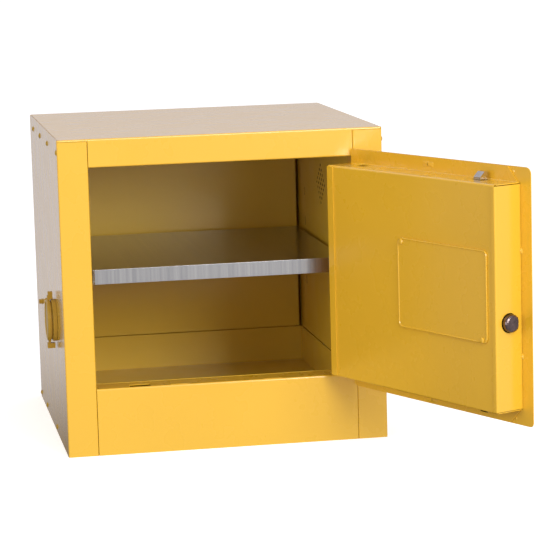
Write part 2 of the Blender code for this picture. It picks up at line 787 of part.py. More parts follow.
def pin_place(angle):
    """Where a drive pin stands on the cam, as (s, z)."""
    return LATCH_S + THROW_RADIUS * math.cos(angle), LATCH_Z + THROW_RADIUS * math.sin(angle)


def spindle_cam(steel, pivot):
    """Square-ended spindle with the cam that carries three drive pins."""
    profile = [
        (0, -0.0330),
        (SPINDLE, -0.0330),
        (SPINDLE, CAM_N[0]),
        (CAM_RADIUS, CAM_N[0]),
        (CAM_RADIUS, CAM_N[1]),
        (SPINDLE, CAM_N[1]),
        (SPINDLE, 0.0240),
        (0, 0.0240),
    ]
    rise = THROW_HALF_ANGLE
    pins = [
        door_rod(*pin_place(rise), DRIVE_PIN, CAM_N[1] - 0.001, ROD_N[1] + 0.001, 10),
        door_rod(*pin_place(rise + math.pi), DRIVE_PIN, CAM_N[1] - 0.001, ROD_N[1] + 0.001, 10),
        door_rod(*pin_place(rise - math.pi / 2), DRIVE_PIN, -0.0255, CAM_N[0] + 0.001, 10),
    ]
    body = door_lathe(profile, LATCH_S, LATCH_Z, 20)
    piece("spindle_cam", steel, body, joins=pins, pivot=pivot, smooth=True)


def rod_outline(end):
    """Flat latch rod in (across, up) from the spindle: a bar and the fork that holds its drive pin."""
    fork_z = THROW_RADIUS * math.sin(THROW_HALF_ANGLE)
    play = DRIVE_PIN + DRIVE_PLAY
    return [
        (-0.0040, 0.0200),
        (-0.0040, end),
        (0.0040, end),
        (0.0040, 0.0340),
        (0.0152, 0.0340),
        (0.0152, fork_z + play),
        (0.0086, fork_z + play),
        (0.0086, fork_z - play),
        (0.0152, fork_z - play),
        (0.0152, 0.0015),
        (0.0066, 0.0015),
        (0.0066, 0.0200),
    ]


def latch_rods(steel, upper, lower):
    """Two equal forked bars, one up and one down, each ending under its latch tip."""
    top_end = PAN_TOP + TIP_REACH - TIP_LENGTH - GAP - LATCH_Z
    bottom_end = LATCH_Z - (PAN_BOTTOM - TIP_REACH + TIP_LENGTH + GAP)
    for name, sign, end, pivot in (("top_rod", 1, top_end, upper), ("bottom_rod", -1, bottom_end, lower)):
        outline = [(LATCH_S + sign * s, LATCH_Z + sign * z) for s, z in rod_outline(end)]
        piece(name, steel, door_prism(outline, *ROD_N), pivot=pivot)


def latch_tips(steel, upper, lower):
    """Spring-latch tips, bevelled on the side that meets the frame first."""
    thick = TIP_N[1] - TIP_N[0]
    for name, sign, wall, pivot in (
        ("top_latch_tip", 1, PAN_TOP, upper),
        ("bottom_latch_tip", -1, PAN_BOTTOM, lower),
    ):
        crown = wall + sign * TIP_REACH
        root = crown - sign * TIP_LENGTH
        outline = [
            (door_y(TIP_N[1]), root),
            (door_y(TIP_N[1]), crown),
            (door_y(TIP_N[1] - 0.35 * thick), crown),
            (door_y(TIP_N[0]), crown - sign * 0.65 * TIP_REACH),
            (door_y(TIP_N[0]), root),
        ]
        low, high = door_x(LATCH_S + TIP_HALF_WIDTH), door_x(LATCH_S - TIP_HALF_WIDTH)
        piece(name, steel, prism(outline, "x", low, high), pivot=pivot)


def rod_guides(steel, pivot):
    """Brackets on the pan that keep the rods straight and seat the springs."""
    hole_s, hole_n = 0.0046, (ROD_N[0] - 0.0006, ROD_N[1] + 0.0006)
    for name, sign, wall in (("top_rod_guide", 1, PAN_TOP), ("bottom_rod_guide", -1, PAN_BOTTOM)):
        level = wall - sign * GUIDE_DISTANCE
        foot = -PAN_DEPTH + SHEET + GAP
        path = [(door_y(-0.0030), level), (door_y(foot), level), (door_y(foot), level - sign * 0.0140)]
        outline = bent_sheet_outline(path, -sign)
        shell = prism(outline, "x", door_x(LATCH_S + 0.0140), door_x(LATCH_S - 0.0140))
        hole = door_box((LATCH_S - hole_s, LATCH_S + hole_s), hole_n, (level - 0.003, level + 0.003))
        piece(name, steel, shell, cuts=[hole], pivot=pivot)


def rod_springs(steel, pivot):
    """Compression springs between each guide and its latch tip."""
    middle = (ROD_N[0] + ROD_N[1]) / 2
    centre = Vector((door_x(LATCH_S), door_y(middle), 0))
    for name, sign, wall in (("top_rod_spring", 1, PAN_TOP), ("bottom_rod_spring", -1, PAN_BOTTOM)):
        start = wall - sign * (GUIDE_DISTANCE - SPRING_WIRE - GAP)
        end = wall + sign * (TIP_REACH - TIP_LENGTH - SPRING_WIRE - GAP)
        piece(name, steel, coil(centre, start, end), pivot=pivot, smooth=True)


def coil(centre, start, end, steps=12, sides=6):
    """Round wire wound about a vertical line, closed at both ends."""
    bm = bmesh.new()
    count = SPRING_TURNS * steps
    rings = []
    for i in range(count + 1):
        turn = 2 * math.pi * i / steps
        spoke = Vector((math.cos(turn), math.sin(turn), 0))
        level = start + (end - start) * i / count
        ring = []
        for k in range(sides):
            around = 2 * math.pi * k / sides
            reach = SPRING_RADIUS + SPRING_WIRE * math.cos(around)
            rise = Vector((0, 0, level + SPRING_WIRE * math.sin(around)))
            ring.append(bm.verts.new(centre + spoke * reach + rise))
        rings.append(ring)
    for one, two in zip(rings, rings[1:]):
        for k in range(sides):
            m = (k + 1) % sides
            bm.faces.new((one[k], one[m], two[m], two[k]))
    bm.faces.new(rings[0])
    bm.faces.new(rings[-1])
    return finish(bm)


def side_bolt(steel, pivot):
    """Round bolt with one flat and a rounded nose, and a tail plate forked over its drive pin."""
    nose = PAN_END + BOLT_REACH
    profile = [
        (0, BOLT_START),
        (BOLT_RADIUS, BOLT_START),
        (BOLT_RADIUS, nose - 0.0032),
        (BOLT_RADIUS - 0.0008, nose - 0.0012),
        (BOLT_RADIUS - 0.0028, nose),
        (0, nose),
    ]
    centre = (door_y(BOLT_N), LATCH_Z)
    body = lathe([(radius, door_x(s)) for radius, s in profile], "x", centre, 24)
    above_flat = (BOLT_N + BOLT_FLAT, BOLT_N + 0.02)
    flat = door_box((BOLT_START - 0.001, nose + 0.001), above_flat, (LATCH_Z - 0.02, LATCH_Z + 0.02))
    pin_s = THROW_RADIUS * math.sin(THROW_HALF_ANGLE)
    pin_z = -THROW_RADIUS * math.cos(THROW_HALF_ANGLE)
    play = DRIVE_PIN + DRIVE_PLAY
    end = BOLT_START + 0.004 - LATCH_S
    outline = [
        (0.0010, -0.0070),
        (end, -0.0070),
        (end, -0.0160),
        (pin_s + play, -0.0160),
        (pin_s + play, pin_z + play),
        (pin_s - play, pin_z + play),
        (pin_s - play, -0.0160),
        (0.0010, -0.0160),
    ]
    tail = door_prism([(LATCH_S + s, LATCH_Z + z) for s, z in outline], -0.0245, -0.0215)
    piece("side_bolt", steel, body, joins=[tail], cuts=[flat], pivot=pivot, smooth=True)


def handle_plate(steel, pivot):
    low = (door_x(LATCH_S + PLATE_HALF_WIDTH), LATCH_Z - PLATE_HALF_HEIGHT)
    high = (door_x(LATCH_S - PLATE_HALF_WIDTH), LATCH_Z + PLATE_HALF_HEIGHT)
    outline = rounded_rectangle(low, high, (0.0080,) * 4)
    plate = prism(outline, "y", door_y(0.0075), door_y(SKIN_BACK + SHEET + GAP))
    hole = door_rod(LATCH_S, LATCH_Z, SPINDLE + 0.0007, 0.001, 0.010)
    piece("handle_plate", steel, plate, cuts=[hole], pivot=pivot)


def door_handle(chrome, pivot):
    """Hub and hanging lever."""
    hub = [
        (0, HANDLE_BACK),
        (HANDLE_HUB - 0.001, HANDLE_BACK),
        (HANDLE_HUB, HANDLE_BACK + 0.001),
        (HANDLE_HUB, HANDLE_FACE - 0.0015),
        (HANDLE_HUB - 0.0015, HANDLE_FACE),
        (0, HANDLE_FACE),
    ]
    wide, narrow = 0.0095, 0.0070
    tip = arc((LATCH_S, LATCH_Z - HANDLE_LENGTH), narrow, math.pi, 2 * math.pi, 8)
    outline = [(LATCH_S + wide, LATCH_Z), (LATCH_S - wide, LATCH_Z), *tip]
    lever = door_prism(outline, HANDLE_FACE - 0.0105, HANDLE_FACE - 0.0005)
    cuts = [
        door_rod(LATCH_S, LATCH_Z, SPINDLE + GAP, HANDLE_BACK - 0.001, 0.0243),
        door_rod(LATCH_S, LATCH_Z, CYLINDER + GAP, 0.0255, HANDLE_FACE + 0.001, 20),
    ]
    body = door_lathe(hub, LATCH_S, LATCH_Z, 24)
    piece("door_handle", chrome, body, joins=[lever], cuts=cuts, pivot=pivot, smooth=True)


def key_cylinder(steel, pivot):
    face, seat, chamfer = HANDLE_FACE + 0.0008, 0.0258, 0.0005
    profile = [(0, seat), (CYLINDER, seat), (CYLINDER, face - chamfer), (CYLINDER - chamfer, face), (0, face)]
    slot_s, slot_z = (LATCH_S - 0.0006, LATCH_S + 0.0006), (LATCH_Z - 0.004, LATCH_Z + 0.004)
    slot = door_box(slot_s, (face - 0.005, face + 0.001), slot_z)
    body = door_lathe(profile, LATCH_S, LATCH_Z, 20)
    piece("key_cylinder", steel, body, cuts=[slot], pivot=pivot, smooth=True)


# ---------------------------------------------------------------- assembly

def build_body(paint, mustard, zinc, brass):
    left_side_panel(paint)
    right_side_panel(paint)
    top_panel(paint)
    back_panel(paint)
    bottom_panel(paint)
    kick_panel(paint)
    sump_tray(paint)
    side_liner("inner_left_panel", paint, False, LEFT_VENT)
    side_liner("inner_right_panel", paint, True, RIGHT_VENT)
    back_liner(paint)
    top_liner(paint)
    vent("left", -1, LEFT_VENT, brass, mustard)
    vent("right", 1, RIGHT_VENT, brass, mustard)
    ground_screw(mustard)
    ground_nut(zinc)
    side_stud(mustard)


def build_door(paint, zinc, burnished, chrome):
    hinge = Pivot("door_hinge_axis", (PIN_X, PIN_Y, 0), turn=DOOR_OPEN)
    door_skin(paint, hinge)
    door_pan(paint, hinge)
    door_hinge_channel(paint, hinge)
    hinge_leaf("hinge_door_leaf", paint, DOOR_LEAF, 0, hinge)
    access_plate(paint, hinge)
    plate_screws(paint, hinge)
    lock_case(zinc, hinge)
    rod_guides(zinc, hinge)
    rod_springs(zinc, hinge)
    handle_plate(chrome, hinge)
    spindle = Pivot("handle_axis", (door_x(LATCH_S), door_y(0), LATCH_Z), hinge)
    spindle_cam(zinc, spindle)
    door_handle(chrome, spindle)
    lock = Pivot("key_axis", (door_x(LATCH_S), door_y(HANDLE_FACE), LATCH_Z), spindle)
    key_cylinder(zinc, lock)
    upper = Pivot("top_latch_line", (door_x(LATCH_S), door_y(ROD_N[0]), PAN_TOP), hinge)
    lower = Pivot("bottom_latch_line", (door_x(LATCH_S), door_y(ROD_N[0]), PAN_BOTTOM), hinge)
    latch_rods(zinc, upper, lower)
    latch_tips(zinc, upper, lower)
    bolt = Pivot("side_bolt_line", (door_x(PAN_END), door_y(BOLT_N), LATCH_Z), hinge)
    side_bolt(burnished, bolt)


def main():
    clear_scene()
    paint = material("yellow_enamel", (0.83, 0.50, 0.03), 0.30, 0.0)
    mustard = material("mustard_enamel", (0.46, 0.27, 0.03), 0.40, 0.0)
    galvanised = material("galvanised_steel", (0.62, 0.64, 0.65), 0.42, 0.9)
    zinc = material("zinc_plated_steel", (0.66, 0.66, 0.66), 0.32, 1.0)
    burnished = material("burnished_steel", (0.30, 0.27, 0.26), 0.30, 1.0)
    chrome = material("chrome", (0.72, 0.72, 0.73), 0.12, 1.0)
    brass = material("brass_gauze", (0.58, 0.44, 0.20), 0.40, 1.0)
    build_body(paint, mustard, zinc, brass)
    shelf(galvanised, Pivot("shelf_place", (0, 0, SHELF_TOP)))
    shelf_clips(zinc)
    hinge_leaf("hinge_frame_leaf", paint, FRAME_LEAF, 1)
    hinge_pin(zinc)
    build_door(paint, zinc, burnished, chrome)


main()
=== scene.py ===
"""Looks for the bench-top flammable storage cabinet: enamel, bare steel, small pressed details, light and camera.

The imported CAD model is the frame. Everything added here is built in metres around it and rides one of its bodies.
"""

import json
import math

import bmesh
import bpy
from mathutils import Matrix, Vector


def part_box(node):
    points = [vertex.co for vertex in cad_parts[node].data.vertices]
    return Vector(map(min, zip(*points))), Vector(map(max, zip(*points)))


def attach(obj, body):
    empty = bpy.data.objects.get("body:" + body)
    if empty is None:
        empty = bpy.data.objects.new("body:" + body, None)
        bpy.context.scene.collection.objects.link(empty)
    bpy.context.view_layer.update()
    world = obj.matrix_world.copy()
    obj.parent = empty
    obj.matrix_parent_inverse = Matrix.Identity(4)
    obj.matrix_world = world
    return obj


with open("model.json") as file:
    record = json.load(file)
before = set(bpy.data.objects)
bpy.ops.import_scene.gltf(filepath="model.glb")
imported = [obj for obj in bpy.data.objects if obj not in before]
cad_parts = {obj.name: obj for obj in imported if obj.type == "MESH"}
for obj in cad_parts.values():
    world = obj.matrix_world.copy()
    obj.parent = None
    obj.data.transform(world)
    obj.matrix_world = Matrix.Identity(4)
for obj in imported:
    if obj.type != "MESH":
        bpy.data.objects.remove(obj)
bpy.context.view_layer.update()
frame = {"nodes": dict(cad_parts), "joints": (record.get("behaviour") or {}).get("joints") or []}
nodes = frame["nodes"]

# The camera of a long studio lens, a little above the cabinet and to its left
CAMERA_PLACE = (-0.49915, -3.43730, 0.73290)
CAMERA_YAW = math.radians(10.02)
CAMERA_PITCH = math.radians(8.65)
CAMERA_ROLL = math.radians(-1.57)
CAMERA_LENS = 158.28
CAMERA_SENSOR = 36.0

# Studio: softboxes by name, azimuth from the front (+ is the cabinet's right), elevation, distance, size, power
AIM = Vector((0.0, -0.05, 0.20))
SOFTBOXES = (
    ("key_softbox", 22, 16, 3.2, (1.2, 1.0), 41.5),
    ("upper_softbox", 10, 32, 3.2, (1.4, 1.0), 20.5),
    ("left_softbox", -50, 12, 3.2, (1.4, 1.2), 25.0),
)
SKY_COLOR = (1.0, 0.965, 1.0)
SKY_STRENGTH = 0.665
SKY_BEHIND = (-0.1, 0.5)
SKY_DARK_BELOW = (-0.24, -0.165)
SKY_SIDE = (-0.85, -0.50)
SKY_SIDE_LEFT = 0.52
FLOOR_RADIUS = 30.0
FLOOR_GLOW = 0.55

# Enamel: each colour and the deeper one it clouds to
YELLOW = (0.82, 0.470, 0.030)
YELLOW_DEEP = (0.80, 0.457, 0.028)
# Mustard: the yellow enamel darkened, painted shade for small raised painted parts
SHADED_YELLOW = (0.54, 0.325, 0.032)
SHADED_YELLOW_DEEP = (0.48, 0.288, 0.028)
LINER = (0.78, 0.525, 0.050)
LINER_DEEP = (0.76, 0.510, 0.046)
LINER_GLOSS, SHADED_YELLOW_GLOSS = 0.5, 0.06
# Near-black painted shade on the walls of the liners' punched holes and on their sheet edges
HOLE_SHADE = (0.030, 0.018, 0.006)
LINERS = ("inner_back_panel", "inner_top_panel", "sump_tray")
PUNCHED_LINERS = ("inner_left_panel", "inner_right_panel")

# Folded sheets, the width of their rounded edges and the least angle that is rounded
FOLDED = ("shelf", "door_pan", "top_panel")
BEND = 0.0005
BEND_ANGLE = math.radians(40)
SEAM = 0.00002
SHARP_ANGLE = math.radians(32)

# Details. Rivets: distances behind the front on the side sheets, and (radius, height) of their heads
SUNK = 0.0002
RIVETS_TOP = (0.0060, 0.1470, 0.2690, 0.3860)
RIVETS_BOTTOM = (0.1700, 0.3300, 0.4300)
RIVET_DROP, RIVET_RISE = 0.0165, 0.0080
RIVET_HEAD = (0.0042, 0.0020)
BACK_RIVETS, BACK_RIVET_MARGIN = 4, 0.0250

# Pads as (width, height, rise, slope)
SILL_PADS = (0.1555, 0.2845)
SILL_PAD_BACK = 0.0060
SILL_PAD = (0.0250, 0.0060, 0.0004, 0.0008)
TAB_MIDDLE = 0.1725
TAB_HEIGHTS = (0.0825, 0.3960)
TAB_PAD = (0.0225, 0.0075, 0.0004, 0.0009)
TAB_RIB = (0.0018, 0.0050, 0.0006, 0.0005)
FLANGE_DIMPLES = ((0.0085, 0.3975), (0.3410, 0.3985), (0.3410, 0.0835))
DIMPLE = (0.0022, 0.0007)
WELD_HEIGHTS = (0.1650, 0.2995)
WELD_S = 0.3535
WELD = (0.0042, 0.0022)

PLATE_CORNER, PLATE_BEAD, BEAD_SUNK = 0.0070, 0.0011, 0.2

# Door axes: from the pin along the door, outwards from it, and up
PIN_TO_EDGE, PIN_TO_FLANGE = -0.0015, -0.0015
SKIN_FACE = 0.0015
FLANGE_FACE = 0.0


# ---------------------------------------------------------------- node materials

class Finish:
    """A Principled material whose textures use the object's own coordinates, in metres."""

    def __init__(self, name, **sockets):
        self.material = bpy.data.materials.new(name)
        self.material.use_nodes = True
        self.tree = self.material.node_tree
        self.shader = self.tree.nodes["Principled BSDF"]
        self.place = self.tree.nodes.new("ShaderNodeTexCoord").outputs["Object"]
        for socket, value in sockets.items():
            self.set(socket.replace("_", " ").title().replace("Ior", "IOR"), value)

    def set(self, socket, value):
        self.shader.inputs[socket].default_value = value

    def link(self, out, socket):
        self.tree.links.new(out, self.shader.inputs[socket])

    def stretched(self, scale):
        node = self.tree.nodes.new("ShaderNodeMapping")
        node.inputs["Scale"].default_value = scale
        self.tree.links.new(self.place, node.inputs["Vector"])
        return node.outputs["Vector"]

    def noise(self, scale, detail=2.0, stretch=None):
        node = self.tree.nodes.new("ShaderNodeTexNoise")
        node.inputs["Scale"].default_value = scale
        node.inputs["Detail"].default_value = detail
        self.tree.links.new(self.stretched(stretch) if stretch else self.place, node.inputs["Vector"])
        return node.outputs["Fac"]

    def mapped(self, value, low, high, start=0.3, end=0.7):
        node = self.tree.nodes.new("ShaderNodeMapRange")
        for socket, number in (("From Min", start), ("From Max", end), ("To Min", low), ("To Max", high)):
            node.inputs[socket].default_value = number
        self.tree.links.new(value, node.inputs["Value"])
        return node.outputs["Result"]

    def ramp(self, value, first, last, start=0.35, end=0.65):
        node = self.tree.nodes.new("ShaderNodeValToRGB")
        node.color_ramp.elements[0].position = start
        node.color_ramp.elements[1].position = end
        node.color_ramp.elements[0].color = (*first, 1)
        node.color_ramp.elements[1].color = (*last, 1)
        self.tree.links.new(value, node.inputs["Fac"])
        return node.outputs["Color"]

    def on_side_faces(self, colour, elsewhere):
        """The colour on faces that look left or right, and another on the edges between them, which paints shade
        there.
        """
        split = self.tree.nodes.new("ShaderNodeSeparateXYZ")
        self.tree.links.new(self.place.node.outputs["Normal"], split.inputs["Vector"])
        size = self.tree.nodes.new("ShaderNodeMath")
        size.operation = "ABSOLUTE"
        self.tree.links.new(split.outputs["X"], size.inputs[0])
        mix = self.tree.nodes.new("ShaderNodeMixRGB")
        mix.inputs["Color1"].default_value = (*elsewhere, 1)
        self.tree.links.new(self.mapped(size.outputs[0], 0.0, 1.0), mix.inputs["Fac"])
        self.tree.links.new(colour, mix.inputs["Color2"])
        return mix.outputs["Color"]

    def bump(self, *layers):
        """Layers of (height, depth in metres), the broadest first."""
        normal = None
        for height, depth in layers:
            node = self.tree.nodes.new("ShaderNodeBump")
            node.inputs["Strength"].default_value = 1.0
            node.inputs["Distance"].default_value = depth
            self.tree.links.new(height, node.inputs["Height"])
            if normal:
                self.tree.links.new(normal, node.inputs["Normal"])
            normal = node.outputs["Normal"]
        self.link(normal, "Normal")


def enamel(name, light, deep, rough=(0.24, 0.32), gloss=1.0, hole_shade=None):
    """Sprayed enamel: a faint cloud in the colour, orange peel and a clear, glossy surface. An optional last colour
    paints shade on faces that don't look left or right, such as the walls of punched holes.
    """
    made = Finish(name, specular_ior_level=0.35, coat_weight=gloss, coat_roughness=0.19)
    cloud = made.ramp(made.noise(7.0, 3.0), deep, light)
    made.link(made.on_side_faces(cloud, hole_shade) if hole_shade else cloud, "Base Color")
    made.link(made.mapped(made.noise(24.0, 3.0), *rough), "Roughness")
    made.bump((made.noise(9.0, 1.0), 0.00003), (made.noise(160.0, 1.0), 0.0000010))
    return made.material


def galvanised(name):
    """Zinc-coated sheet: faint drawn streaks run front to back and down the lips."""
    made = Finish(name, metallic=1.0)
    streaks = made.noise(300.0, 2.0, (1.0, 0.01, 0.01))
    made.link(made.ramp(streaks, (0.425, 0.432, 0.430), (0.535, 0.535, 0.522), 0.30, 0.70), "Base Color")
    made.link(made.mapped(streaks, 0.24, 0.27), "Roughness")
    made.bump((made.noise(8.0, 1.0), 0.00001))
    return made.material


def zinc_plate(name):
    """Bright zinc plate with a drawn grain along the rods."""
    made = Finish(name, metallic=1.0)
    made.link(made.ramp(made.noise(90.0, 4.0), (0.52, 0.50, 0.49), (0.68, 0.66, 0.65)), "Base Color")
    made.link(made.mapped(made.noise(240.0, 3.0, (1.0, 1.0, 0.08)), 0.12, 0.22), "Roughness")
    made.bump((made.noise(500.0, 2.0, (1.0, 1.0, 0.08)), 0.00001))
    return made.material


def burnished(name):
    """Dark burnished steel with a turned grain."""
    made = Finish(name, metallic=1.0)
    made.link(made.ramp(made.noise(150.0, 3.0), (0.120, 0.088, 0.085), (0.200, 0.150, 0.148)), "Base Color")
    made.link(made.mapped(made.noise(420.0, 2.0), 0.22, 0.34), "Roughness")
    made.bump((made.noise(260.0, 2.0), 0.00001))
    return made.material


def chrome(name):
    """Polished chrome with the faintest handling marks."""
    made = Finish(name, metallic=1.0, base_color=(0.80, 0.80, 0.81, 1.0))
    made.link(made.mapped(made.noise(60.0, 5.0), 0.05, 0.16), "Roughness")
    made.bump((made.noise(30.0, 1.0), 0.00006))
    return made.material


def brass_gauze(name):
    """Woven brass wire: two crossing sets of wires as relief, with painted shade near-black in the gaps between them.
    """
    made = Finish(name, metallic=1.0, roughness=0.35)
    weave = []
    for direction in ("Y", "Z"):
        wave = made.tree.nodes.new("ShaderNodeTexWave")
        wave.bands_direction = direction
        wave.inputs["Scale"].default_value = 220.0
        made.tree.links.new(made.place, wave.inputs["Vector"])
        weave.append(wave.outputs["Fac"])
    both = made.tree.nodes.new("ShaderNodeMath")
    both.operation = "MAXIMUM"
    for i, out in enumerate(weave):
        made.tree.links.new(out, both.inputs[i])
    # the low end of the ramp is painted shade in the gaps between the wires
    made.link(made.ramp(both.outputs[0], (0.05, 0.03, 0.01), (0.30, 0.20, 0.08), 0.45, 0.85), "Base Color")
    made.bump((both.outputs[0], 0.0002))
    return made.material


FINISHES = {
    "yellow_enamel": enamel("yellow_enamel_paint", YELLOW, YELLOW_DEEP),
    "liner_enamel": enamel("liner_enamel_paint", LINER, LINER_DEEP, (0.32, 0.42), LINER_GLOSS),
    "punched_liner_enamel": enamel(
        "punched_liner_paint", LINER, LINER_DEEP, (0.32, 0.42), LINER_GLOSS, HOLE_SHADE
    ),
    # mustard_enamel is the yellow enamel darkened: painted shade on small raised parts
    "mustard_enamel": enamel("shaded_yellow_enamel_paint", SHADED_YELLOW, SHADED_YELLOW_DEEP, (0.34, 0.46), SHADED_YELLOW_GLOSS),
    "burnished_steel": burnished("burnished_steel_bar"),
    "galvanised_steel": galvanised("galvanised_sheet"),
    "zinc_plated_steel": zinc_plate("zinc_plate"),
    "chrome": chrome("chrome_plate"),
    "brass_gauze": brass_gauze("brass_wire_gauze"),
}


def dress_frame():
    """Gives every CAD node the full finish of the slot that it was packed with. The liners got a thinner coat."""
    coats = {**dict.fromkeys(LINERS, "liner_enamel"), **dict.fromkeys(PUNCHED_LINERS, "punched_liner_enamel")}
    for name, node in nodes.items():
        slot = coats.get(name, node.data.materials[0].name)
        node.data.materials.clear()
        node.data.materials.append(FINISHES[slot])


def soften_folds():
    """Folded sheet has small round bends: closes each mesh's seams and rolls its sharp edges inwards."""
    for name in FOLDED:
        weld = nodes[name].modifiers.new("closed_seams", "WELD")
        weld.merge_threshold = SEAM
        bend = nodes[name].modifiers.new("round_bends", "BEVEL")
        bend.width, bend.segments = BEND, 2
        bend.limit_method = "ANGLE"
        bend.angle_limit = BEND_ANGLE
        bend.use_clamp_overlap = True
        bend.harden_normals = True


dress_frame()
soften_folds()


# ---------------------------------------------------------------- pressed and painted details

def face_frame(place, out, up=(0, 0, 1)):
    """Matrix of a spot on a face: local Z points out of the face and local Y points up along it."""
    z = Vector(out).normalized()
    y = (Vector(up) - z * z.dot(Vector(up))).normalized()
    return Matrix.Translation(place) @ Matrix((y.cross(z), y, z)).transposed().to_4x4()


def add_dome(bm, at, radius, height, rings=4, segments=20):
    """Low round head, closed underneath and sunk a little into the face."""
    ball = (radius ** 2 + height ** 2) / (2 * height)
    reach = math.asin(min(1.0, radius / ball))
    leans = (reach * (1 - i / rings) for i in range(rings))
    profile = [(radius, -SUNK)] + [(ball * math.sin(a), ball * math.cos(a) - ball + height) for a in leans]
    circles = []
    for across, rise in profile:
        turns = (2 * math.pi * k / segments for k in range(segments))
        circles.append([bm.verts.new(at @ Vector((across * math.cos(t), across * math.sin(t), rise))) for t in turns])
    crown = bm.verts.new(at @ Vector((0, 0, height)))
    bm.faces.new(circles[0][::-1])
    for one, two in zip(circles, circles[1:]):
        for k in range(segments):
            m = (k + 1) % segments
            bm.faces.new((one[k], one[m], two[m], two[k]))
    for k in range(segments):
        bm.faces.new((circles[-1][k], circles[-1][(k + 1) % segments], crown))


def add_pad(bm, at, width, height, rise, slope, corner=0.0012, steps=4):
    """Pressed pad: a rounded rectangle whose sides slope up to a flat top."""
    def outline(inset):
        half_w, half_h, radius = width / 2 - inset, height / 2 - inset, max(corner - inset * 0.5, 0.0002)
        points = []
        for i, (to_x, to_y) in enumerate(((1, 1), (-1, 1), (-1, -1), (1, -1))):
            for k in range(steps + 1):
                turn = math.pi / 2 * (i + k / steps)
                points.append((to_x * (half_w - radius) + radius * math.cos(turn),
                               to_y * (half_h - radius) + radius * math.sin(turn)))
        return points

    levels = ((0.0, -SUNK), (slope * 0.3, rise * 0.45), (slope, rise))
    rows = [[bm.verts.new(at @ Vector((x, y, level))) for x, y in outline(inset)] for inset, level in levels]
    bm.faces.new(rows[0][::-1])
    bm.faces.new(rows[-1])
    count = len(rows[0])
    for one, two in zip(rows, rows[1:]):
        for k in range(count):
            m = (k + 1) % count
            bm.faces.new((one[k], one[m], two[m], two[k]))


def add_loop_bead(bm, points, radius, sides=8):
    """Round bead along a closed flat line of points."""
    count = len(points)
    normal = (points[1] - points[0]).cross(points[2] - points[1])
    for i in range(3, count):
        normal += (points[i - 1] - points[i - 2]).cross(points[i] - points[i - 1])
    normal.normalize()
    rings = []
    for i, point in enumerate(points):
        side = (points[(i + 1) % count] - points[i - 1]).normalized().cross(normal)
        turns = (2 * math.pi * k / sides for k in range(sides))
        rings.append([bm.verts.new(point + (side * math.cos(t) + normal * math.sin(t)) * radius) for t in turns])
    for i, ring in enumerate(rings):
        following = rings[(i + 1) % count]
        for k in range(sides):
            m = (k + 1) % sides
            bm.faces.new((ring[k], ring[m], following[m], following[k]))


def add_piece(name, bm, body, slot):
    """Turns the mesh into a smooth, named piece that rides a body."""
    bmesh.ops.recalc_face_normals(bm, faces=bm.faces[:])
    mesh = bpy.data.meshes.new(name)
    bm.to_mesh(mesh)
    bm.free()
    mesh.materials.append(FINISHES[slot])
    obj = bpy.data.objects.new(name, mesh)
    bpy.context.scene.collection.objects.link(obj)
    mesh.shade_smooth()
    mesh.set_sharp_from_angle(angle=SHARP_ANGLE)
    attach(obj, body)
    return obj


def side_rivets():
    """Painted rivet heads along the top and bottom of both side sheets, and on the back, in the darker copy of the
    yellow enamel that paints their shade.
    """
    side_low, side_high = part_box("left_side_panel")
    front, back = side_low.y, side_high.y
    outer = cad_right()
    for name, x, out in (("left", side_low.x, -1), ("right", outer, 1)):
        bm = bmesh.new()
        for distance in RIVETS_TOP:
            add_dome(bm, face_frame((x, front + distance, side_high.z - RIVET_DROP), (out, 0, 0)), *RIVET_HEAD)
        for distance in RIVETS_BOTTOM:
            add_dome(bm, face_frame((x, front + distance, RIVET_RISE), (out, 0, 0)), *RIVET_HEAD)
        add_piece(f"{name}_side_rivets", bm, "cabinet", "mustard_enamel")
    bm = bmesh.new()
    for height in (RIVET_RISE, side_high.z - RIVET_DROP):
        for i in range(BACK_RIVETS):
            x = side_low.x + BACK_RIVET_MARGIN + (outer - side_low.x - 2 * BACK_RIVET_MARGIN) * i / (BACK_RIVETS - 1)
            add_dome(bm, face_frame((x, back, height), (0, 1, 0)), *RIVET_HEAD)
    add_piece("back_rivets", bm, "cabinet", "mustard_enamel")


def cad_right():
    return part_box("right_side_panel")[1].x


def sill_pads():
    """Two long pads pressed into the sill, just behind its front fold."""
    kick_low, kick_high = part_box("kick_panel")
    bm = bmesh.new()
    for distance in SILL_PADS:
        place = (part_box("left_side_panel")[0].x + distance, kick_low.y + SILL_PAD_BACK, kick_high.z)
        add_pad(bm, face_frame(place, (0, 0, 1), (0, 1, 0)), *SILL_PAD)
    add_piece("sill_pads", bm, "cabinet", "yellow_enamel")


def door_spot(s, z, out, side=-1):
    """Frame of a spot on a door face: s from the hinge edge, out along the door's outward normal."""
    place = door_origin + across * s + outward * out
    return face_frame((place.x, place.y, z), outward * side)


def door_extent(name):
    """Lowest and highest (s, out, z) of a CAD node on the door."""
    spots = [v.co - door_origin for v in nodes[name].data.vertices]
    axes = [[spot.dot(axis) for spot in spots] for axis in (across, outward, Vector((0, 0, 1)))]
    return [min(values) for values in axes], [max(values) for values in axes]


def plate_bead():
    """Rolled paint-filled edge round the access plate."""
    low, high = door_extent("access_plate")
    corner, inset = PLATE_CORNER, PLATE_BEAD
    face = low[1] + PLATE_BEAD * BEAD_SUNK
    points = []
    for i, (to_s, to_z) in enumerate(((1, 1), (-1, 1), (-1, -1), (1, -1))):
        middle_s = (high[0] - corner if to_s > 0 else low[0] + corner)
        middle_z = (high[2] - corner if to_z > 0 else low[2] + corner)
        for k in range(7):
            turn = math.pi / 2 * (i + k / 6)
            reach = corner - inset
            s, z = middle_s + reach * math.cos(turn), middle_z + reach * math.sin(turn)
            points.append(door_origin + across * s + outward * face + Vector((0, 0, z)))
    bm = bmesh.new()
    add_loop_bead(bm, points, PLATE_BEAD)
    add_piece("access_plate_bead", bm, "door", "yellow_enamel")


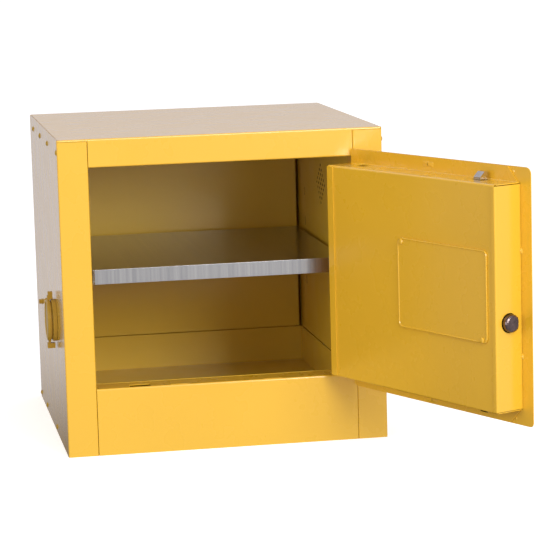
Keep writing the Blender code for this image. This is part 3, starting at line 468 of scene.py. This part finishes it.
def door_stampings():
    """Spot welds, stamped pads and small welds on the door's inner side."""
    bm = bmesh.new()
    for s, z in FLANGE_DIMPLES:
        add_dome(bm, door_spot(s, z, SKIN_FACE), *DIMPLE)
    add_piece("door_spot_welds", bm, "door", "yellow_enamel")
    bm = bmesh.new()
    for z in TAB_HEIGHTS:
        add_pad(bm, door_spot(TAB_MIDDLE, z, FLANGE_FACE), *TAB_PAD)
        add_pad(bm, door_spot(TAB_MIDDLE, z, FLANGE_FACE), *TAB_RIB)
    add_piece("door_flange_tabs", bm, "door", "yellow_enamel")
    bm = bmesh.new()
    for z in WELD_HEIGHTS:
        add_dome(bm, door_spot(WELD_S, z, SKIN_FACE), *WELD)
    add_piece("free_side_welds", bm, "door", "yellow_enamel")


hinge = next(joint for joint in frame["joints"] if joint["name"] == "door_hinge")
swing = math.radians(-hinge["range_deg"][0])
across = Vector((-math.cos(swing), -math.sin(swing), 0))
outward = Vector((math.sin(swing), -math.cos(swing), 0))
door_origin = Vector(hinge["pos_m"]) + across * PIN_TO_EDGE + outward * PIN_TO_FLANGE
side_rivets()
sill_pads()
door_stampings()
plate_bead()


# ---------------------------------------------------------------- studio

def aimed_light(name, azimuth, elevation, distance, size, power):
    light = bpy.data.lights.new(name, "AREA")
    light.shape = "RECTANGLE"
    light.size, light.size_y = size
    light.energy = power
    obj = bpy.data.objects.new(name, light)
    a, e = math.radians(azimuth), math.radians(elevation)
    away = Vector((math.sin(a) * math.cos(e), -math.cos(a) * math.cos(e), math.sin(e)))
    obj.location = AIM + away * distance
    obj.rotation_euler = (-away).to_track_quat("-Z", "Y").to_euler()
    obj.visible_camera = False
    bpy.context.scene.collection.objects.link(obj)


def studio_floor():
    bm = bmesh.new()
    bmesh.ops.create_circle(bm, cap_ends=True, segments=96, radius=FLOOR_RADIUS)
    mesh = bpy.data.meshes.new("studio_floor")
    bm.to_mesh(mesh)
    bm.free()
    floor = bpy.data.objects.new("studio_floor", mesh)
    bpy.context.scene.collection.objects.link(floor)
    paper = Finish("studio_paper", emission_strength=FLOOR_GLOW, emission_color=(1, 1, 1, 1), roughness=0.9)
    paper.link(paper.ramp(paper.noise(3.0), (0.86, 0.86, 0.86), (0.88, 0.88, 0.88)), "Base Color")
    mesh.materials.append(paper.material)
    floor.visible_diffuse = False
    floor.visible_glossy = False


def studio_world():
    """A white surround, dimmer at the far left, that falls to black low down behind the cabinet."""
    world = bpy.data.worlds.new("studio")
    world.use_nodes = True
    tree = world.node_tree
    direction = tree.nodes.new("ShaderNodeSeparateXYZ")
    tree.links.new(tree.nodes.new("ShaderNodeTexCoord").outputs["Generated"], direction.inputs["Vector"])

    def share(axis, limits, low, high):
        node = tree.nodes.new("ShaderNodeMapRange")
        node.interpolation_type = "SMOOTHSTEP"
        for socket, number in zip(("From Min", "From Max", "To Min", "To Max"), (*limits, low, high)):
            node.inputs[socket].default_value = number
        tree.links.new(direction.outputs[axis], node.inputs["Value"])
        return node.outputs["Result"]

    dark = tree.nodes.new("ShaderNodeMath")
    dark.operation = "MULTIPLY"
    tree.links.new(share("Y", SKY_BEHIND, 0.0, 1.0), dark.inputs[0])
    tree.links.new(share("Z", SKY_DARK_BELOW, SKY_STRENGTH, 0.0), dark.inputs[1])
    remaining = tree.nodes.new("ShaderNodeMath")
    remaining.operation = "SUBTRACT"
    remaining.inputs[0].default_value = SKY_STRENGTH
    tree.links.new(dark.outputs[0], remaining.inputs[1])
    dimmed = tree.nodes.new("ShaderNodeMath")
    dimmed.operation = "MULTIPLY"
    tree.links.new(remaining.outputs[0], dimmed.inputs[0])
    tree.links.new(share("X", SKY_SIDE, SKY_SIDE_LEFT, 1.0), dimmed.inputs[1])
    tree.links.new(dimmed.outputs[0], tree.nodes["Background"].inputs["Strength"])
    tree.nodes["Background"].inputs["Color"].default_value = (*SKY_COLOR, 1)
    bpy.context.scene.world = world


def studio_camera():
    cos_p, sin_p = math.cos(CAMERA_PITCH), math.sin(CAMERA_PITCH)
    cos_y, sin_y = math.cos(CAMERA_YAW), math.sin(CAMERA_YAW)
    forward = Vector((sin_y * cos_p, cos_y * cos_p, -sin_p))
    level = Vector((cos_y, -sin_y, 0))
    up = level.cross(forward)
    right = math.cos(CAMERA_ROLL) * level + math.sin(CAMERA_ROLL) * up
    top = -math.sin(CAMERA_ROLL) * level + math.cos(CAMERA_ROLL) * up
    data = bpy.data.cameras.new("camera")
    data.lens = CAMERA_LENS
    data.sensor_width = CAMERA_SENSOR
    camera = bpy.data.objects.new("camera", data)
    turned = Matrix((right, top, -forward)).transposed().to_4x4()
    camera.matrix_world = Matrix.Translation(CAMERA_PLACE) @ turned
    bpy.context.scene.collection.objects.link(camera)
    bpy.context.scene.camera = camera


for softbox in SOFTBOXES:
    aimed_light(*softbox)
studio_floor()
studio_world()
studio_camera()
bpy.context.scene.view_settings.view_transform = "Standard"
